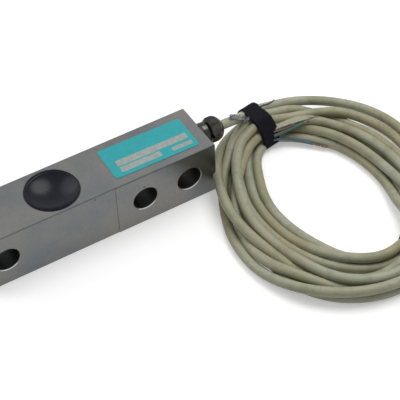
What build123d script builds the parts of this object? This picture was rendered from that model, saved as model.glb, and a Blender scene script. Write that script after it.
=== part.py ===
from build123d import *
import math
import os

# Shear beam load cell, as it lies on a bench: the beam runs along X with its cable end at +X,
# the three bolt holes run along Y, and a gauge pocket opens upwards and another downwards.
# Sizes are in millimetres. The origin is at the middle of the beam's bottom face.

# Beam bar
beam_length = 130.0
beam_width = 31.8
beam_height = 31.8
edge_chamfer = 0.5
pad_length = 57.0
pad_height = 0.25

# Bolt holes across the beam
load_bore_diameter = 13.5
load_bore_inset = 12.7
mounting_bore_diameter = 13.5
mounting_bore_inset = 15.7
mounting_bore_pitch = 25.4
bore_chamfer = 0.35

# Gauge pockets, one from above and one from below, with the sensing web between them
pocket_diameter = 28.1
pocket_inset = 46.3
pocket_chamfer = 0.3
web_thickness = 6.8
link_hole_diameter = 3.0
link_hole_offset = 10.5

# Threaded port for the cable gland and the channel from it to the upper pocket
gland_drop = 5.9
gland_height = beam_height - gland_drop
port_diameter = 8.0
port_depth = 8.0
channel_diameter = 3.0

# Fits
seat_gap = 0.05
bond_gap = 0.02
port_clearance = 0.1

# Strain gauge: a polyimide backing with two foil grids at 45 degrees to the beam
backing_length = 12.0
backing_width = 8.6
backing_thickness = 0.15
foil_thickness = 0.08
grid_offset = 2.7
grid_strands = 7
grid_pitch = 0.52
grid_line = 0.28
grid_reach = 3.4
grid_tab = 1.0

# Solder terminals beside the gauge
terminal_length = 10.4
terminal_width = 2.8
terminal_thickness = 0.4
terminal_offset = 8.0
terminal_pads = 4
terminal_pad_size = 1.7
terminal_pad_thickness = 0.12
terminal_pitch = 2.5

# Trim board with its chip resistors
board_length = 12.0
board_width = 4.6
board_thickness = 1.0
board_offset = 9.0
chip_length = 2.4
chip_width = 1.2
chip_thickness = 0.5
chip_count = 3
chip_pitch = 3.6
chip_offset = 1.2

# Wires inside the beam
link_wire_diameter = 0.5
link_wire_pitch = 0.7
link_wire_bend = 1.0
lead_wire_diameter = 0.7
lead_wire_spacing = 0.9
lead_wire_bend = 1.2
lead_pad_pitch = 3.0
lead_pad_offset = 1.3
lead_gather = 12.9

# Potting, dished below the beam's faces
potting_rim_drop = 0.4
potting_dish_depth = 5.2
potting_floor_radius = 9.4
potting_floor_drop = 4.8
potting_wall_bulge = 0.9

# Name label on the top face
label_length = 47.0
label_width = 22.0
label_thickness = 0.2
label_corner = 1.4
label_inset = 29.8
label_turn = -1.0

# Cable gland: body, seal ring, rubber bush, clamp ring and domed hexagon nut
seal_thickness = 0.8
collar_diameter = 11.6
collar_length = 3.0
collar_chamfer = 0.3
spigot_diameter = 8.6
spigot_length = 4.4
spigot_lip = 0.5
spigot_cone_length = 1.6
nut_across_flats = 12.0
nut_gap = 1.1
nut_length = 7.8
nut_turn = -8.0
nut_thread_clearance = 0.05
nut_dome_diameter = 6.8
nut_dome_start = 3.6
nut_corner_chamfer = 0.7
nut_roof = 2.0
nut_mouth_clearance = 0.3
clamp_thickness = 0.9
clamp_clearance = 0.15
bush_clearance = 0.02
jacket_clearance = 0.12

# Cable
cable_diameter = 5.2
jacket_end = 64.9
bundle_width = 17.8
bundle_height = 15.2
bundle_corner = 4.6
loose_corner = 4.3
far_bundle_width = 21.0
far_bundle_height = 10.2

# Straps of hook-and-loop tape round the coil
strap_width = 11.0
strap_thickness = 1.2
strap_overlap_thickness = 1.1
strap_overlap_reach = 6.5
strap_overlap_rise = 3.0
near_strap_place = (103.2, 4.55)
near_strap_heading = 9.8
far_strap_place = (131.5, -106.0)
far_strap_heading = -139.5

# Stripped ends of the conductors
conductor_diameter = 1.4
strand_tip_diameter = 1.1
shield_diameter = 2.0
drain_diameter = 1.0

# Route of the cable from inside the gland to the coil, one point for each change of direction
lead_route = [
    (jacket_end, 0.0, gland_height),
    (83.0, 0.0, gland_height),
    (96.0, 8.0, 13.8),
    (107.0, 11.0, 7.6),
]

# Outline of the coil on the bench, clockwise from the near strap: inner edge, outer edge, height
coil_after_near_strap = [
    ((112.0, -7.0), (114.0, 14.6), 9.0),
    ((119.0, -11.0), (129.0, 13.0), 9.0),
    ((126.5, -18.5), (142.5, 9.5), 9.4),
    ((132.5, -27.5), (155.0, 2.0), 10.4),
    ((136.5, -38.5), (165.0, -10.0), 10.4),
    ((138.0, -50.0), (170.5, -28.0), 10.4),
    ((137.5, -62.0), (172.0, -48.0), 10.4),
    ((136.0, -75.0), (168.0, -69.0), 10.4),
    ((132.5, -87.0), (157.5, -89.5), 10.4),
]
coil_after_far_strap = [
    ((112.0, -99.5), (117.0, -122.5), 10.6),
    ((102.0, -96.8), (97.0, -124.5), 10.6),
    ((93.0, -88.0), (76.0, -115.5), 10.6),
    ((86.5, -76.0), (60.0, -99.5), 10.6),
    ((82.0, -62.0), (50.0, -79.0), 10.6),
    ((81.0, -47.0), (49.0, -56.0), 10.6),
    ((83.0, -33.5), (54.5, -36.5), 10.8),
    ((87.0, -22.5), (63.2, -21.0), 11.4),
    ((91.5, -14.0), (71.5, -5.0), 12.4),
    ((95.5, -8.5), (82.0, 7.6), 13.8),
]

# Conductor ends that stick out of the near strap: points over the coil, and the bare tip's length
conductor_routes = {
    "conductor_white": [(112.6, -4.2, 9.9), (118.2, -5.0, 9.8), (123.5, -5.6, 9.8), (128.0, -6.4, 10.2)],
    "conductor_green": [(113.0, -7.6, 8.6), (118.0, -8.5, 9.4), (123.0, -9.0, 9.8), (127.5, -9.9, 10.2)],
    "conductor_red": [(112.6, -5.9, 9.5), (115.4, -6.6, 9.8), (118.2, -6.7, 9.8), (121.0, -7.2, 9.8)],
    "conductor_blue": [(112.5, -8.6, 5.5), (117.5, -11.6, 5.3), (121.5, -15.4, 5.1), (124.5, -19.2, 5.0)],
}
tip_lengths = {"conductor_white": 6.5, "conductor_green": 6.0, "conductor_red": 4.0, "conductor_blue": 8.0}
shield_route = [(95.8, 10.1, 16.9), (91.6, 7.5, 21.0), (88.1, 5.5, 24.2), (85.1, 3.4, 26.9)]
drain_route = [(112.6, 11.2, 9.6), (117.0, 12.0, 9.55), (121.5, 11.9, 9.5)]

# Places worked out from the sizes
cable_end = beam_length / 2
pocket_x = pocket_inset - beam_length / 2
load_bore_x = load_bore_inset - beam_length / 2
mounting_bores_x = [cable_end - mounting_bore_inset - i * mounting_bore_pitch for i in (1, 0)]
middle_height = beam_height / 2
web_top = middle_height + web_thickness / 2
pocket_depth = beam_height - web_top
collar_end = seal_thickness + collar_length
spigot_end = collar_end + spigot_length
nut_start = collar_end + nut_gap
nut_end = nut_start + nut_length
nut_roof_reach = nut_end - nut_roof
gland_axis = Plane(origin=(cable_end, 0, gland_height), x_dir=(0, 1, 0), z_dir=(1, 0, 0))


def under_web(solid):
    """The same piece seen from the other side of the web."""
    return mirror(solid, Plane.XY.offset(middle_height))


def tube(points, diameter, radii):
    """A round wire or cable along straight runs joined by arcs."""
    path = FilletPolyline(*points, radius=radii)
    section = Plane(origin=path @ 0, z_dir=path % 0) * Circle(diameter / 2)
    return sweep(section, path=path)


def arc_radii(points):
    """The largest arc that the two runs at each corner leave room for."""
    corners = [Vector(*point) for point in points]
    radii = []
    for before, corner, after in zip(corners, corners[1:], corners[2:]):
        arriving = corner - before
        leaving = after - corner
        half_turn = math.radians(arriving.get_angle(leaving)) / 2
        radii.append(0.45 * min(arriving.length, leaving.length) / math.tan(half_turn))
    return radii


def along_gland(profile):
    """A turned gland piece from its outline: distance out of the beam's face, then radius."""
    outline = make_face(Polyline(*[(radius, reach) for reach, radius in profile], close=True))
    return gland_axis * (Rot(90, 0, 0) * revolve(outline, Axis.Y))


def make_beam():
    """The machined bar with its bolt holes, gauge pockets, port and wire channel."""
    bar = Box(beam_length, beam_width, beam_height, align=(Align.CENTER, Align.CENTER, Align.MIN))
    relief = Box(
        beam_length - pad_length, pad_height, beam_height, align=(Align.MIN, Align.MIN, Align.MIN)
    )
    bar -= Pos(-beam_length / 2, -beam_width / 2, 0) * relief
    outer_edges = bar.edges().filter_by(lambda edge: edge.length > pad_height * 2)
    ends = outer_edges.filter_by(lambda edge: abs(edge.center().X) > cable_end - pad_height)
    bar = chamfer(ends, edge_chamfer)
    for x, diameter in [(load_bore_x, load_bore_diameter)] + [
        (x, mounting_bore_diameter) for x in mounting_bores_x
    ]:
        hole = Cylinder(diameter / 2, beam_width * 2, rotation=(90, 0, 0))
        bar -= Pos(x, 0, middle_height) * hole
        front = -beam_width / 2 if x > cable_end - pad_length else -beam_width / 2 + pad_height
        for face_y, outwards in ((front, -1), (beam_width / 2, 1)):
            sink = Cone(
                diameter / 2, diameter / 2 + 2 * bore_chamfer, 2 * bore_chamfer, rotation=(-90 * outwards, 0, 0)
            )
            bar -= Pos(x, face_y, middle_height) * sink
    pocket = Cylinder(pocket_diameter / 2, pocket_depth * 2) + Cone(
        pocket_diameter / 2, pocket_diameter / 2 + 2 * pocket_chamfer, 2 * pocket_chamfer
    )
    upper = Pos(pocket_x, 0, beam_height) * pocket
    link = Pos(pocket_x - link_hole_offset, 0, middle_height) * Cylinder(
        link_hole_diameter / 2, web_thickness * 2
    )
    channel_length = cable_end - pocket_x
    channel = Pos(cable_end, 0, gland_height) * Cylinder(
        channel_diameter / 2, channel_length, rotation=(0, 90, 0), align=(Align.CENTER, Align.CENTER, Align.MAX)
    )
    port = Pos(cable_end, 0, gland_height) * Cylinder(
        port_diameter / 2, port_depth, rotation=(0, 90, 0), align=(Align.CENTER, Align.CENTER, Align.MAX)
    )
    return bar - upper - under_web(upper) - link - channel - port


def make_gauge():
    """A shear gauge bonded to the web: two serpentine foil grids on one backing."""
    backing = extrude(RectangleRounded(backing_length, backing_width, 0.8), backing_thickness)
    foil = Sketch()
    span = (grid_strands - 1) * grid_pitch
    for side in (-1, 1):
        grid = Sketch()
        for strand in range(grid_strands):
            across = strand * grid_pitch - span / 2
            grid += Pos(across, 0) * Rectangle(grid_line, grid_reach)
            if strand < grid_strands - 1:
                end = grid_reach / 2 if strand % 2 else -grid_reach / 2
                grid += Pos(across + grid_pitch / 2, end) * Rectangle(grid_pitch + grid_line, grid_line)
        for edge in (-1, 1):
            tab = Rectangle(grid_tab, grid_tab)
            grid += Pos(edge * span / 2, grid_reach / 2 + grid_tab / 2 - grid_line / 2) * tab
        foil += Pos(side * grid_offset, 0) * Rot(0, 0, side * 45) * grid
    gauge = backing + Pos(0, 0, backing_thickness) * extrude(foil, foil_thickness)
    return Pos(pocket_x, 0, web_top + bond_gap) * gauge


def terminal_places():
    """Middle of each solder terminal, from the pocket's middle."""
    return [(i - (terminal_pads - 1) / 2) * terminal_pitch for i in range(terminal_pads)]


def make_terminals():
    """A glued strip of solder terminals."""
    strip = Box(
        terminal_length, terminal_width, terminal_thickness, align=(Align.CENTER, Align.CENTER, Align.MIN)
    )
    for x in terminal_places():
        pad = Box(
            terminal_pad_size,
            terminal_pad_size,
            terminal_pad_thickness,
            align=(Align.CENTER, Align.CENTER, Align.MIN),
        )
        strip += Pos(x, 0, terminal_thickness) * pad
    return Pos(pocket_x, terminal_offset, web_top + bond_gap) * strip


def make_board():
    """The small board that carries the trim resistors and takes the cable's wires."""
    board = Box(board_width, board_length, board_thickness, align=(Align.CENTER, Align.CENTER, Align.MIN))
    return Pos(pocket_x + board_offset, 0, web_top + bond_gap) * board


def make_chips():
    """Chip resistors in a row on the trim board."""
    chips = []
    for i in range(chip_count):
        chip = Box(chip_width, chip_length, chip_thickness, align=(Align.CENTER, Align.CENTER, Align.MIN))
        along = (i - (chip_count - 1) / 2) * chip_pitch
        height = web_top + bond_gap + board_thickness + bond_gap
        chips.append(Pos(pocket_x + board_offset - chip_offset, along, height) * chip)
    return Compound(children=chips)


def make_link_wires():
    """Four fine wires that join the upper terminals to the lower ones through the web."""
    rise = terminal_thickness + terminal_pad_thickness + link_wire_diameter / 2 + 2 * bond_gap
    wires = []
    for i, x in enumerate(terminal_places()):
        across = (i - (terminal_pads - 1) / 2) * link_wire_pitch / math.sqrt(2)
        hole_x = pocket_x - link_hole_offset + across
        upper = [(pocket_x + x, terminal_offset, web_top + rise), (hole_x, -across, web_top + rise)]
        lower = [(px, py, beam_height - pz) for px, py, pz in reversed(upper)]
        wires.append(tube(upper + lower, link_wire_diameter, link_wire_bend))
    return Compound(children=wires)


def make_lead_wire(number):
    """One of the cable's four wires, from the trim board through the channel to the cable's end."""
    across = (number % 2 - 0.5) * lead_wire_spacing
    up = (number // 2 - 0.5) * lead_wire_spacing
    start_x = pocket_x + board_offset + lead_pad_offset
    start_y = (number - 1.5) * lead_pad_pitch
    start_z = web_top + bond_gap + board_thickness + bond_gap
    height = gland_height + up
    points = [
        (start_x, start_y, start_z),
        (start_x, start_y, height),
        (pocket_x + lead_gather, across, height),
        (jacket_end - seat_gap, across, height),
    ]
    return tube(points, lead_wire_diameter, lead_wire_bend)


def make_potting(buried):
    """Potting compound cast over the gauge, dished by shrinkage, with the pieces it covers."""
    radius = pocket_diameter / 2 - seat_gap
    floor = web_top + bond_gap
    wall = ThreePointArc(
        (radius, beam_height - potting_rim_drop),
        (
            (radius + potting_floor_radius) / 2 + potting_wall_bulge,
            beam_height - (potting_rim_drop + potting_floor_drop) / 2 - potting_wall_bulge,
        ),
        (potting_floor_radius, beam_height - potting_floor_drop),
    )
    dish = Line(wall @ 1, (0, beam_height - potting_dish_depth))
    down = Line(dish @ 1, (0, floor))
    base = Line(down @ 1, (radius, floor))
    side = Line(base @ 1, wall @ 0)
    profile = make_face([wall, dish, down, base, side])
    potting = Pos(pocket_x, 0, 0) * revolve(Plane.XZ * profile, Axis.Z)
    for piece in buried:
        potting -= piece
    return potting


def make_label():
    """A thin printed foil label glued on the top face."""
    plate = extrude(RectangleRounded(label_length, label_width, label_corner), label_thickness)
    return Pos(cable_end - label_inset, 0, beam_height) * Rot(0, 0, label_turn) * plate


def make_seal():
    """The flat seal ring between the beam's end face and the gland's collar."""
    outside = collar_diameter / 2
    inside = port_diameter / 2
    return along_gland([(0, inside), (seal_thickness, inside), (seal_thickness, outside), (0, outside)])


def make_gland_body():
    """The turned gland body: threaded shank in the port, collar, and spigot for the nut."""
    shank = port_diameter / 2 - port_clearance
    jacket = cable_diameter / 2 + jacket_clearance
    collar = collar_diameter / 2
    spigot = spigot_diameter / 2
    shoulder = jacket_end - cable_end - seat_gap
    return along_gland(
        [
            (port_clearance - port_depth, channel_diameter / 2),
            (port_clearance - port_depth, shank),
            (seal_thickness, shank),
            (seal_thickness, collar - collar_chamfer),
            (seal_thickness + collar_chamfer, collar),
            (collar_end - collar_chamfer, collar),
            (collar_end, collar - collar_chamfer),
            (collar_end, spigot),
            (spigot_end, spigot),
            (spigot_end, spigot - spigot_lip),
            (spigot_end - spigot_cone_length, jacket),
            (shoulder, jacket),
            (shoulder, channel_diameter / 2),
        ]
    )


def make_bush():
    """The rubber bush that the nut squeezes on to the cable."""
    inside = cable_diameter / 2 + bush_clearance
    mouth = spigot_diameter / 2 - spigot_lip - seat_gap
    tip = spigot_end - spigot_cone_length + 2 * seat_gap
    end = nut_roof_reach - clamp_thickness - 2 * seat_gap
    return along_gland([(tip, inside), (spigot_end + seat_gap, mouth), (end, mouth), (end, inside)])


def make_clamp():
    """The slip ring between the bush and the nut's roof."""
    end = nut_roof_reach - seat_gap
    start = end - clamp_thickness
    inside = cable_diameter / 2 + clamp_clearance
    outside = spigot_diameter / 2 - seat_gap
    return along_gland([(start, inside), (end, inside), (end, outside), (start, outside)])


def make_nut():
    """The gland's domed hexagon nut."""
    corner = nut_across_flats / math.sqrt(3)
    hexagon = Rot(0, 0, nut_turn) * extrude(RegularPolygon(corner, 6), nut_length)
    blank = gland_axis * Pos(0, 0, nut_start) * hexagon
    dome_start = nut_start + nut_dome_start
    rim = [
        (0, nut_start),
        (corner - nut_corner_chamfer, nut_start),
        (corner, nut_start + nut_corner_chamfer),
        (corner, dome_start),
    ]
    shoulder = (corner * 0.86, dome_start + (nut_end - dome_start) * 0.5)
    tip = (nut_dome_diameter / 2, nut_end)
    dome = make_face([Polyline(*rim), ThreePointArc(rim[-1], shoulder, tip), Polyline(tip, (0, nut_end), rim[0])])
    envelope = gland_axis * (Rot(90, 0, 0) * revolve(dome, Axis.Y))
    thread = spigot_diameter / 2 + nut_thread_clearance
    mouth = cable_diameter / 2 + nut_mouth_clearance
    bore = along_gland([(nut_start - 1, 0), (nut_start - 1, thread), (nut_roof_reach, thread), (nut_roof_reach, 0)])
    exit_bore = along_gland([(nut_start, 0), (nut_start, mouth), (nut_end + 1, mouth), (nut_end + 1, 0)])
    return (blank & envelope) - bore - exit_bore


def strap_plane(place, heading, offset=0.0):
    """A plane across the bundle at a strap, with its Y axis up."""
    angle = math.radians(heading)
    forward = Vector(math.cos(angle), math.sin(angle), 0)
    centre = Vector(place[0], place[1], 0) + forward * offset
    return Plane(origin=centre, x_dir=(math.sin(angle), -math.cos(angle), 0), z_dir=forward * -1)


def bundle_section(place, heading, width, height, offset):
    """The tied turns' outline at a distance along the bundle from the strap's middle."""
    lift = strap_thickness + 2 * seat_gap + height / 2
    shape = Pos(0, lift) * RectangleRounded(width, height, bundle_corner)
    return strap_plane(place, heading, offset) * shape


def loose_section(inner, outer, top):
    """The turns' outline between an inner and an outer point on the bench."""
    inner = Vector(*inner, 0)
    outer = Vector(*outer, 0)
    across = inner - outer
    middle = (inner + outer) * 0.5
    plane = Plane(origin=middle, x_dir=across, z_dir=across.cross(Vector(0, 0, 1)))
    return plane * (Pos(0, top / 2) * RectangleRounded(across.length, top, loose_corner))


def make_coil():
    """The coil as one closed ring: loose turns, drawn together at the two straps."""
    half = strap_width / 2 + seat_gap
    near = [
        bundle_section(near_strap_place, near_strap_heading, bundle_width, bundle_height, side * half)
        for side in (-1, 1)
    ]
    far = [
        bundle_section(far_strap_place, far_strap_heading, far_bundle_width, far_bundle_height, side * half)
        for side in (-1, 1)
    ]
    first = [loose_section(*station) for station in coil_after_near_strap]
    second = [loose_section(*station) for station in coil_after_far_strap]
    sections = near + first + far + second
    arc = loft(sections, ruled=True)
    closing = loft([sections[-1], sections[0]], ruled=True)
    return arc + closing


def make_strap(place, heading, width, height):
    """A strap of hook-and-loop tape: one full wrap and an overlap on the coil's outer side."""
    lift = strap_thickness + 2 * seat_gap + height / 2
    around = RectangleRounded(width + 2 * seat_gap, height + 2 * seat_gap, bundle_corner + seat_gap)
    grown = 2 * (seat_gap + strap_thickness)
    wrap = RectangleRounded(width + grown, height + grown, bundle_corner + grown / 2)
    overlap_grown = grown + 2 * strap_overlap_thickness
    overlap = RectangleRounded(
        width + overlap_grown, height + overlap_grown, bundle_corner + overlap_grown / 2
    )
    keep = Pos(strap_overlap_reach - width / 2, strap_overlap_rise - height / 2) * Rectangle(
        width, 2 * height, align=(Align.MAX, Align.MIN)
    )
    outline = (wrap + (overlap & keep)) - around
    band = extrude(Pos(0, lift) * outline, strap_width / 2, both=True)
    return strap_plane(place, heading) * band


def make_conductor(points):
    """The insulated part of a conductor's stripped end."""
    return tube(points, conductor_diameter, arc_radii(points)) - coil


def make_tip(points, length):
    """The bare twisted strands at a conductor's end."""
    before = Vector(*points[-2])
    end = Vector(*points[-1])
    forward = (end - before).normalized()
    start = end + forward * seat_gap
    return Plane(origin=start, z_dir=forward) * Cylinder(
        strand_tip_diameter / 2, length, align=(Align.CENTER, Align.CENTER, Align.MIN)
    ) - coil


os.makedirs("parts", exist_ok=True)

gauge = make_gauge()
terminals = make_terminals()
board = make_board()
chips = make_chips()
link_wires = make_link_wires()
wire_names = ["lead_wire_red", "lead_wire_white", "lead_wire_green", "lead_wire_blue"]
lead_wires = {name: make_lead_wire(number) for number, name in enumerate(wire_names)}
coil = make_coil()
lead_radii = arc_radii(lead_route)
lead = tube(lead_route, cable_diameter, lead_radii) - coil

nodes = {
    "beam": make_beam(),
    "gauge_upper": gauge,
    "gauge_lower": under_web(gauge),
    "terminals_upper": terminals,
    "terminals_lower": under_web(terminals),
    "trim_board": board,
    "trim_resistors": chips,
    "link_wires": link_wires,
    "potting_upper": make_potting([gauge, terminals, board, chips, link_wires, *lead_wires.values()]),
    "potting_lower": under_web(make_potting([gauge, terminals, under_web(link_wires)])),
    "label": make_label(),
    "gland_seal": make_seal(),
    "gland_body": make_gland_body(),
    "gland_bush": make_bush(),
    "gland_clamp": make_clamp(),
    "gland_nut": make_nut(),
    "cable_lead": lead,
    "cable_coil": coil,
    "strap_near": make_strap(near_strap_place, near_strap_heading, bundle_width, bundle_height),
    "strap_far": make_strap(far_strap_place, far_strap_heading, far_bundle_width, far_bundle_height),
    "shield_pigtail": tube(shield_route, shield_diameter, arc_radii(shield_route)) - lead,
    "drain_wire": tube(drain_route, drain_diameter, arc_radii(drain_route)) - coil,
}
nodes.update(lead_wires)
for name, route in conductor_routes.items():
    nodes[name] = make_conductor(route)
nodes["bare_tips"] = Compound(
    children=[make_tip(route, tip_lengths[name]) for name, route in conductor_routes.items()]
)

for name, solid in nodes.items():
    export_step(solid, f"parts/{name}.step")

section = math.pi * cable_diameter**2 / 4
path = FilletPolyline(*lead_route, radius=lead_radii)
print("lead arcs, mm:", [round(radius, 1) for radius in lead_radii])
print("lead volume by section times length:", round(section * path.length), "solid:", round(lead.volume))
print("coil volume:", round(coil.volume))
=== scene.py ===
import math

import bmesh
import bpy
import numpy as np
from mathutils import Matrix, Vector


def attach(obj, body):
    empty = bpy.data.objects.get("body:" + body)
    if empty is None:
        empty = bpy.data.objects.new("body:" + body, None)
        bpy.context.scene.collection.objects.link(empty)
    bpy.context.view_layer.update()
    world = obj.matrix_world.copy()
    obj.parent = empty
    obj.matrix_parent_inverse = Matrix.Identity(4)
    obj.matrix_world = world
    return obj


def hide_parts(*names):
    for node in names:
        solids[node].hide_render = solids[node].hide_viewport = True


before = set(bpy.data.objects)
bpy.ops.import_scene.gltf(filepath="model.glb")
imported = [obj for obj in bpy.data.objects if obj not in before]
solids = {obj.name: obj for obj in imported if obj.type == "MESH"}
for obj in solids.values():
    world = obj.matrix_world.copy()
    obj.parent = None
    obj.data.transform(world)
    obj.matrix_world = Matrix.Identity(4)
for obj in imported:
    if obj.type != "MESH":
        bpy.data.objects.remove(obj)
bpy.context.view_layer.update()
scene = bpy.context.scene
scene.view_settings.view_transform = "Standard"


# The camera looks down on the beam and the coil from the free end's left side, through a long lens.
# Its place and lens come from the bolt holes and the edges of the beam in the photograph.
camera_place = Vector((-0.166811, -0.418484, 0.489274))
looking = Vector((0.32903969, 0.59778762, -0.73101494))
upward = Vector((0.39154307, 0.61807655, 0.68167104))
turned_to = Matrix((looking.cross(upward), upward, -looking)).transposed()
camera = bpy.data.objects.new("camera", bpy.data.cameras.new("camera"))
scene.collection.objects.link(camera)
camera.matrix_world = Matrix.Translation(camera_place) @ turned_to.to_4x4()
camera.data.sensor_width = 36.0
camera.data.lens = 116.76
camera.data.clip_start = 0.01
scene.camera = camera


# The bench is a sheet of white card under soft studio lamps, so it shows white with a soft shadow under
# the object. Card scatters light evenly, and the camera sees it a little lighter than the lamps leave it.
def linear(code):
    """An sRGB hex colour as linear red, green, blue and alpha."""
    parts = [int(code[i : i + 2], 16) / 255 for i in (0, 2, 4)]
    return [p / 12.92 if p <= 0.04045 else ((p + 0.055) / 1.055) ** 2.4 for p in parts] + [1.0]


def add_node(tree, kind, inputs=None, **settings):
    """Adds one node with its settings. An input is a value, or the output of another node to link."""
    made = tree.nodes.new(kind)
    for name, value in settings.items():
        setattr(made, name, value)
    for name, value in (inputs or {}).items():
        if isinstance(value, bpy.types.NodeSocket):
            tree.links.new(value, made.inputs[name])
        else:
            made.inputs[name].default_value = value
    return made


def new_material(name):
    """An empty node material, with its tree and its output node."""
    material = bpy.data.materials.new(name)
    material.use_nodes = True
    tree = material.node_tree
    tree.nodes.clear()
    return material, tree, tree.nodes.new("ShaderNodeOutputMaterial")


def piece(name, data, material):
    """Puts a mesh or curve into the scene with its material."""
    made = bpy.data.objects.new(name, data)
    scene.collection.objects.link(made)
    data.materials.append(material)
    return made


card, tree, output = new_material("matt white card")
rays = add_node(tree, "ShaderNodeLightPath")
seen = add_node(tree, "ShaderNodeMath", {0: rays.outputs["Is Camera Ray"], 1: 0.34}, operation="MULTIPLY")
lift = add_node(
    tree,
    "ShaderNodeMath",
    {0: rays.outputs["Is Glossy Ray"], 1: 0.6, 2: seen.outputs[0]},
    operation="MULTIPLY_ADD",
)
sheet_face = add_node(tree, "ShaderNodeBsdfDiffuse", {"Color": linear("e6e6e6")})
glow = add_node(tree, "ShaderNodeEmission", {"Color": linear("ffffff"), "Strength": lift.outputs[0]})
both = add_node(tree, "ShaderNodeAddShader", {0: sheet_face.outputs[0], 1: glow.outputs[0]})
tree.links.new(both.outputs[0], output.inputs["Surface"])
bench_reach, bench_drop = 3.0, 0.0002
corners = [(x * bench_reach, y * bench_reach, -bench_drop) for x, y in ((-1, -1), (1, -1), (1, 1), (-1, 1))]
bench_mesh = bpy.data.meshes.new("bench")
bench_mesh.from_pydata(corners, [], [(0, 1, 2, 3)])
bench = piece("bench", bench_mesh, card)

# The room is dim where it lights the object, and white where the camera, metal or gloss looks into it.
room = bpy.data.worlds.new("studio")
scene.world = room
room.use_nodes = True
tree = room.node_tree
tree.nodes.clear()
rays = add_node(tree, "ShaderNodeLightPath")
seen = add_node(
    tree,
    "ShaderNodeMath",
    {0: rays.outputs["Is Camera Ray"], 1: rays.outputs["Is Glossy Ray"]},
    operation="MAXIMUM",
)
seen = add_node(
    tree, "ShaderNodeMath", {0: seen.outputs[0], 1: rays.outputs["Is Transmission Ray"]}, operation="MAXIMUM"
)
strength = add_node(tree, "ShaderNodeMapRange", {"Value": seen.outputs[0], "To Min": 0.28, "To Max": 1.0})
sky = add_node(tree, "ShaderNodeBackground", {"Color": linear("ffffff"), "Strength": strength.outputs[0]})
output = tree.nodes.new("ShaderNodeOutputWorld")
tree.links.new(sky.outputs[0], output.inputs["Surface"])

# Two round soft lamps, one over the coil and a weaker one behind the beam's free end
lit_middle = Vector((0.04, -0.03, 0.01))
for name, place, width, power in (
    ("lamp_above", (0.58, 0.06, 1.25), 1.0, 12.0),
    ("lamp_back", (-0.75, 0.95, 1.1), 1.4, 9.0),
):
    lamp = bpy.data.objects.new(name, bpy.data.lights.new(name, "AREA"))
    scene.collection.objects.link(lamp)
    lamp.data.shape = "DISK"
    lamp.data.size = width
    lamp.data.energy = power
    lamp.location = place
    lamp.rotation_mode = "QUATERNION"
    lamp.rotation_quaternion = (lit_middle - Vector(place)).to_track_quat("-Z", "Y")


# The cable is four stranded conductors and a braided shield in a soft round jacket of grey-olive PVC, 5.2 mm
# across and 2.65 m long. It leaves the gland, drops to the bench and lies in a loose coil that two
# straps tie, wound by hand: each turn wanders, some pass over others, and the straps gather them.
mm = 0.001
cable_diameter = 5.2
gland_height = 25.9

# The lead's route, from inside the gland to the near strap
lead_points = [(64.9, 0.0, gland_height), (82.5, 0.0, gland_height), (94.2, 9.2, 14.9)]

# The coil's inner and outer edge on the bench, clockwise from the near strap
coil_edges = np.array(
    [
        [(104.7, -4.2), (101.7, 13.3)],
        [(112.0, -7.0), (114.0, 14.6)],
        [(119.0, -11.0), (129.0, 13.0)],
        [(126.5, -18.5), (142.5, 9.5)],
        [(132.5, -27.5), (155.0, 2.0)],
        [(136.5, -38.5), (165.0, -10.0)],
        [(138.0, -50.0), (170.5, -28.0)],
        [(137.5, -62.0), (172.0, -48.0)],
        [(136.0, -75.0), (168.0, -69.0)],
        [(132.5, -87.0), (157.5, -89.5)],
        [(124.7, -98.0), (138.3, -114.0)],
        [(112.0, -99.5), (117.0, -122.5)],
        [(102.0, -96.8), (97.0, -124.5)],
        [(93.0, -88.0), (76.0, -115.5)],
        [(86.5, -76.0), (60.0, -99.5)],
        [(82.0, -62.0), (50.0, -79.0)],
        [(81.0, -47.0), (49.0, -56.0)],
        [(83.0, -33.5), (54.5, -36.5)],
        [(87.0, -22.5), (63.2, -21.0)],
        [(91.5, -14.0), (71.5, -5.0)],
        [(95.5, -8.5), (82.0, 7.6)],
    ]
)

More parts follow.
